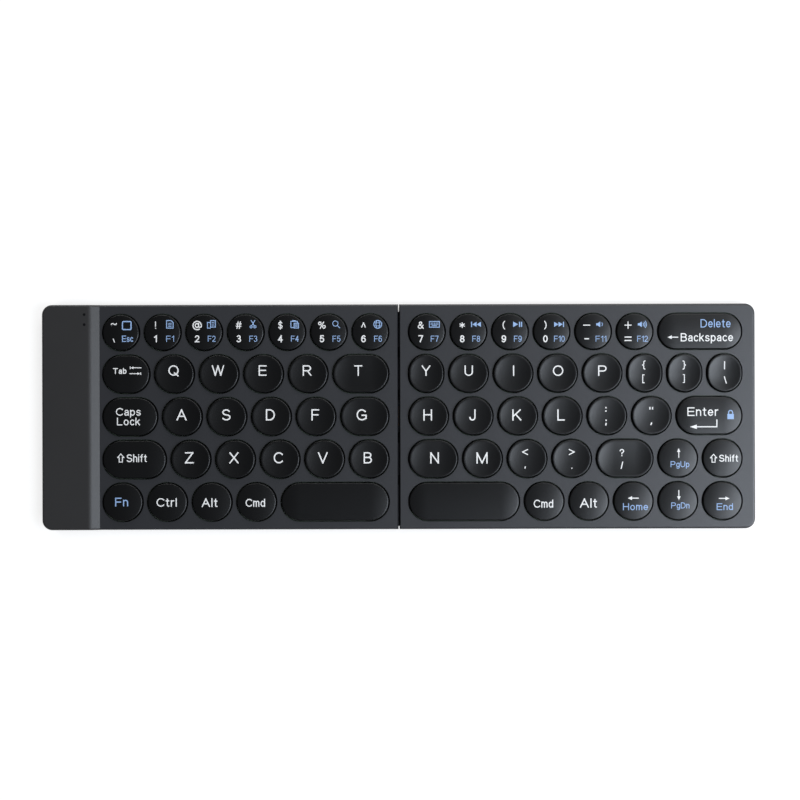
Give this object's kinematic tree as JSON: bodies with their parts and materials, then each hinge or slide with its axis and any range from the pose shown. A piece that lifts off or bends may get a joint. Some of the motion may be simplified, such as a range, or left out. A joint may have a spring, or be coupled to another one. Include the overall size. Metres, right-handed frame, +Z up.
{
  "type": "folding keyboard",
  "caption": "Slim travel keyboard of two flat halves with round key caps that close face to face on a concealed double-pivot hinge; a raised battery bay ends the left half.",
  "frame": {"origin": "centre of the open keyboard's outline, on the surface that the feet stand on", "axes": "+X along the open keyboard to the right-hand half's end, +Y to the back edge, +Z up out of the keys"},
  "size_m": [0.285, 0.09, 0.0078],
  "materials": {
    "case_plastic": "fine satin, dark grey",
    "key_plastic": "smooth satin, near black",
    "plate_steel": "rolled sheet",
    "membrane_film": "printed film",
    "dome_rubber": "moulded silicone",
    "scissor_plastic": "natural moulding",
    "wire_steel": "drawn wire",
    "circuit_board": "solder mask",
    "battery_pouch": "foil pouch",
    "port_steel": "drawn shell",
    "light_pipe": "smoked light pipe",
    "magnet_nickel": "nickel plated",
    "foot_rubber": "matt",
    "screw_steel": "blackened"
  },
  "bodies": {
    "left_half": {"left_upper_case": "case_plastic", "left_end_cover": "case_plastic", "left_lower_case": "case_plastic", "left_support_plate": "plate_steel", "left_membrane": "membrane_film", "left_rubber_domes": "dome_rubber", "left_scissor_frames": "scissor_plastic", "left_stabilisers": "wire_steel", "main_board": "circuit_board", "battery": "battery_pouch", "charging_port": "port_steel", "status_lights": "light_pipe", "left_magnets": "magnet_nickel", "left_feet": "foot_rubber", "left_screws": "screw_steel"},
    "hinge_spine": {"hinge_spine": "plate_steel", "hinge_pins": "wire_steel", "hinge_ribbon": "membrane_film"},
    "right_half": {"right_upper_case": "case_plastic", "right_lower_case": "case_plastic", "right_support_plate": "plate_steel", "right_membrane": "membrane_film", "right_rubber_domes": "dome_rubber", "right_scissor_frames": "scissor_plastic", "right_stabilisers": "wire_steel", "right_magnets": "magnet_nickel", "right_feet": "foot_rubber", "right_screws": "screw_steel"},
    "escape_key": {"escape_key": "key_plastic"},
    "keys_1_to_3": {"keys_1_to_3": "key_plastic"},
    "keys_4_to_6": {"keys_4_to_6": "key_plastic"},
    "tab_key": {"tab_key": "key_plastic"},
    "keys_q_to_t": {"keys_q_to_t": "key_plastic"},
    "caps_lock_key": {"caps_lock_key": "key_plastic"},
    "keys_a_to_g": {"keys_a_to_g": "key_plastic"},
    "left_shift_key": {"left_shift_key": "key_plastic"},
    "keys_z_to_b": {"keys_z_to_b": "key_plastic"},
    "function_key": {"function_key": "key_plastic"},
    "control_key": {"control_key": "key_plastic"},
    "left_alt_key": {"left_alt_key": "key_plastic"},
    "left_command_key": {"left_command_key": "key_plastic"},
    "left_space_key": {"left_space_key": "key_plastic"},
    "keys_7_to_9": {"keys_7_to_9": "key_plastic"},
    "keys_0_to_equals": {"keys_0_to_equals": "key_plastic"},
    "backspace_key": {"backspace_key": "key_plastic"},
    "keys_y_to_p": {"keys_y_to_p": "key_plastic"},
    "bracket_keys": {"bracket_keys": "key_plastic"},
    "keys_h_to_l": {"keys_h_to_l": "key_plastic"},
    "semicolon_and_quote_keys": {"semicolon_and_quote_keys": "key_plastic"},
    "enter_key": {"enter_key": "key_plastic"},
    "keys_n_and_m": {"keys_n_and_m": "key_plastic"},
    "comma_to_slash_keys": {"comma_to_slash_keys": "key_plastic"},
    "up_arrow_key": {"up_arrow_key": "key_plastic"},
    "right_shift_key": {"right_shift_key": "key_plastic"},
    "right_space_key": {"right_space_key": "key_plastic"},
    "right_command_key": {"right_command_key": "key_plastic"},
    "right_alt_key": {"right_alt_key": "key_plastic"},
    "left_arrow_key": {"left_arrow_key": "key_plastic"},
    "down_arrow_key": {"down_arrow_key": "key_plastic"},
    "right_arrow_key": {"right_arrow_key": "key_plastic"}
  },
  "joints": [
    {"name": "left_fold", "type": "hinge", "parent": "left_half", "child": "hinge_spine", "pos_m": [-0.00305, 0, 0.00485], "axis": [0, -1, 0], "range_deg": [0, 90]},
    {"name": "right_fold", "type": "hinge", "parent": "hinge_spine", "child": "right_half", "pos_m": [0.00305, 0, 0.00485], "axis": [0, -1, 0], "range_deg": [0, 90]},
    {"name": "escape_key_press", "type": "slide", "parent": "left_half", "child": "escape_key", "axis": [0, 0, -1], "range_m": [0, 0.0013], "stiffness_N_per_m": 300, "springref_m": -0.0004, "deforming": ["left_rubber_domes", "left_scissor_frames"]},
    {"name": "keys_1_to_3_press", "type": "slide", "parent": "left_half", "child": "keys_1_to_3", "axis": [0, 0, -1], "range_m": [0, 0.0013], "stiffness_N_per_m": 300, "springref_m": -0.0004, "deforming": ["left_rubber_domes", "left_scissor_frames"]},
    {"name": "keys_4_to_6_press", "type": "slide", "parent": "left_half", "child": "keys_4_to_6", "axis": [0, 0, -1], "range_m": [0, 0.0013], "stiffness_N_per_m": 300, "springref_m": -0.0004, "deforming": ["left_rubber_domes", "left_scissor_frames"]},
    {"name": "tab_key_press", "type": "slide", "parent": "left_half", "child": "tab_key", "axis": [0, 0, -1], "range_m": [0, 0.0013], "stiffness_N_per_m": 300, "springref_m": -0.0004, "deforming": ["left_rubber_domes", "left_scissor_frames"]},
    {"name": "keys_q_to_t_press", "type": "slide", "parent": "left_half", "child": "keys_q_to_t", "axis": [0, 0, -1], "range_m": [0, 0.0013], "stiffness_N_per_m": 300, "springref_m": -0.0004, "deforming": ["left_rubber_domes", "left_scissor_frames"]},
    {"name": "caps_lock_key_press", "type": "slide", "parent": "left_half", "child": "caps_lock_key", "axis": [0, 0, -1], "range_m": [0, 0.0013], "stiffness_N_per_m": 300, "springref_m": -0.0004, "deforming": ["left_rubber_domes", "left_scissor_frames"]},
    {"name": "keys_a_to_g_press", "type": "slide", "parent": "left_half", "child": "keys_a_to_g", "axis": [0, 0, -1], "range_m": [0, 0.0013], "stiffness_N_per_m": 300, "springref_m": -0.0004, "deforming": ["left_rubber_domes", "left_scissor_frames"]},
    {"name": "left_shift_key_press", "type": "slide", "parent": "left_half", "child": "left_shift_key", "axis": [0, 0, -1], "range_m": [0, 0.0013], "stiffness_N_per_m": 300, "springref_m": -0.0004, "deforming": ["left_rubber_domes", "left_scissor_frames", "left_stabilisers"]},
    {"name": "keys_z_to_b_press", "type": "slide", "parent": "left_half", "child": "keys_z_to_b", "axis": [0, 0, -1], "range_m": [0, 0.0013], "stiffness_N_per_m": 300, "springref_m": -0.0004, "deforming": ["left_rubber_domes", "left_scissor_frames"]},
    {"name": "function_key_press", "type": "slide", "parent": "left_half", "child": "function_key", "axis": [0, 0, -1], "range_m": [0, 0.0013], "stiffness_N_per_m": 300, "springref_m": -0.0004, "deforming": ["left_rubber_domes", "left_scissor_frames"]},
    {"name": "control_key_press", "type": "slide", "parent": "left_half", "child": "control_key", "axis": [0, 0, -1], "range_m": [0, 0.0013], "stiffness_N_per_m": 300, "springref_m": -0.0004, "deforming": ["left_rubber_domes", "left_scissor_frames"]},
    {"name": "left_alt_key_press", "type": "slide", "parent": "left_half", "child": "left_alt_key", "axis": [0, 0, -1], "range_m": [0, 0.0013], "stiffness_N_per_m": 300, "springref_m": -0.0004, "deforming": ["left_rubber_domes", "left_scissor_frames"]},
    {"name": "left_command_key_press", "type": "slide", "parent": "left_half", "child": "left_command_key", "axis": [0, 0, -1], "range_m": [0, 0.0013], "stiffness_N_per_m": 300, "springref_m": -0.0004, "deforming": ["left_rubber_domes", "left_scissor_frames"]},
    {"name": "left_space_key_press", "type": "slide", "parent": "left_half", "child": "left_space_key", "axis": [0, 0, -1], "range_m": [0, 0.0013], "stiffness_N_per_m": 300, "springref_m": -0.0004, "deforming": ["left_rubber_domes", "left_scissor_frames", "left_stabilisers"]},
    {"name": "keys_7_to_9_press", "type": "slide", "parent": "right_half", "child": "keys_7_to_9", "axis": [0, 0, -1], "range_m": [0, 0.0013], "stiffness_N_per_m": 300, "springref_m": -0.0004, "deforming": ["right_rubber_domes", "right_scissor_frames"]},
    {"name": "keys_0_to_equals_press", "type": "slide", "parent": "right_half", "child": "keys_0_to_equals", "axis": [0, 0, -1], "range_m": [0, 0.0013], "stiffness_N_per_m": 300, "springref_m": -0.0004, "deforming": ["right_rubber_domes", "right_scissor_frames"]},
    {"name": "backspace_key_press", "type": "slide", "parent": "right_half", "child": "backspace_key", "axis": [0, 0, -1], "range_m": [0, 0.0013], "stiffness_N_per_m": 300, "springref_m": -0.0004, "deforming": ["right_rubber_domes", "right_scissor_frames", "right_stabilisers"]},
    {"name": "keys_y_to_p_press", "type": "slide", "parent": "right_half", "child": "keys_y_to_p", "axis": [0, 0, -1], "range_m": [0, 0.0013], "stiffness_N_per_m": 300, "springref_m": -0.0004, "deforming": ["right_rubber_domes", "right_scissor_frames"]},
    {"name": "bracket_keys_press", "type": "slide", "parent": "right_half", "child": "bracket_keys", "axis": [0, 0, -1], "range_m": [0, 0.0013], "stiffness_N_per_m": 300, "springref_m": -0.0004, "deforming": ["right_rubber_domes", "right_scissor_frames"]},
    {"name": "keys_h_to_l_press", "type": "slide", "parent": "right_half", "child": "keys_h_to_l", "axis": [0, 0, -1], "range_m": [0, 0.0013], "stiffness_N_per_m": 300, "springref_m": -0.0004, "deforming": ["right_rubber_domes", "right_scissor_frames"]},
    {"name": "semicolon_and_quote_keys_press", "type": "slide", "parent": "right_half", "child": "semicolon_and_quote_keys", "axis": [0, 0, -1], "range_m": [0, 0.0013], "stiffness_N_per_m": 300, "springref_m": -0.0004, "deforming": ["right_rubber_domes", "right_scissor_frames"]},
    {"name": "enter_key_press", "type": "slide", "parent": "right_half", "child": "enter_key", "axis": [0, 0, -1], "range_m": [0, 0.0013], "stiffness_N_per_m": 300, "springref_m": -0.0004, "deforming": ["right_rubber_domes", "right_scissor_frames", "right_stabilisers"]},
    {"name": "keys_n_and_m_press", "type": "slide", "parent": "right_half", "child": "keys_n_and_m", "axis": [0, 0, -1], "range_m": [0, 0.0013], "stiffness_N_per_m": 300, "springref_m": -0.0004, "deforming": ["right_rubber_domes", "right_scissor_frames"]},
    {"name": "comma_to_slash_keys_press", "type": "slide", "parent": "right_half", "child": "comma_to_slash_keys", "axis": [0, 0, -1], "range_m": [0, 0.0013], "stiffness_N_per_m": 300, "springref_m": -0.0004, "deforming": ["right_rubber_domes", "right_scissor_frames"]},
    {"name": "up_arrow_key_press", "type": "slide", "parent": "right_half", "child": "up_arrow_key", "axis": [0, 0, -1], "range_m": [0, 0.0013], "stiffness_N_per_m": 300, "springref_m": -0.0004, "deforming": ["right_rubber_domes", "right_scissor_frames"]},
    {"name": "right_shift_key_press", "type": "slide", "parent": "right_half", "child": "right_shift_key", "axis": [0, 0, -1], "range_m": [0, 0.0013], "stiffness_N_per_m": 300, "springref_m": -0.0004, "deforming": ["right_rubber_domes", "right_scissor_frames"]},
    {"name": "right_space_key_press", "type": "slide", "parent": "right_half", "child": "right_space_key", "axis": [0, 0, -1], "range_m": [0, 0.0013], "stiffness_N_per_m": 300, "springref_m": -0.0004, "deforming": ["right_rubber_domes", "right_scissor_frames", "right_stabilisers"]},
    {"name": "right_command_key_press", "type": "slide", "parent": "right_half", "child": "right_command_key", "axis": [0, 0, -1], "range_m": [0, 0.0013], "stiffness_N_per_m": 300, "springref_m": -0.0004, "deforming": ["right_rubber_domes", "right_scissor_frames"]},
    {"name": "right_alt_key_press", "type": "slide", "parent": "right_half", "child": "right_alt_key", "axis": [0, 0, -1], "range_m": [0, 0.0013], "stiffness_N_per_m": 300, "springref_m": -0.0004, "deforming": ["right_rubber_domes", "right_scissor_frames"]},
    {"name": "left_arrow_key_press", "type": "slide", "parent": "right_half", "child": "left_arrow_key", "axis": [0, 0, -1], "range_m": [0, 0.0013], "stiffness_N_per_m": 300, "springref_m": -0.0004, "deforming": ["right_rubber_domes", "right_scissor_frames"]},
    {"name": "down_arrow_key_press", "type": "slide", "parent": "right_half", "child": "down_arrow_key", "axis": [0, 0, -1], "range_m": [0, 0.0013], "stiffness_N_per_m": 300, "springref_m": -0.0004, "deforming": ["right_rubber_domes", "right_scissor_frames"]},
    {"name": "right_arrow_key_press", "type": "slide", "parent": "right_half", "child": "right_arrow_key", "axis": [0, 0, -1], "range_m": [0, 0.0013], "stiffness_N_per_m": 300, "springref_m": -0.0004, "deforming": ["right_rubber_domes", "right_scissor_frames"]}
  ]
}
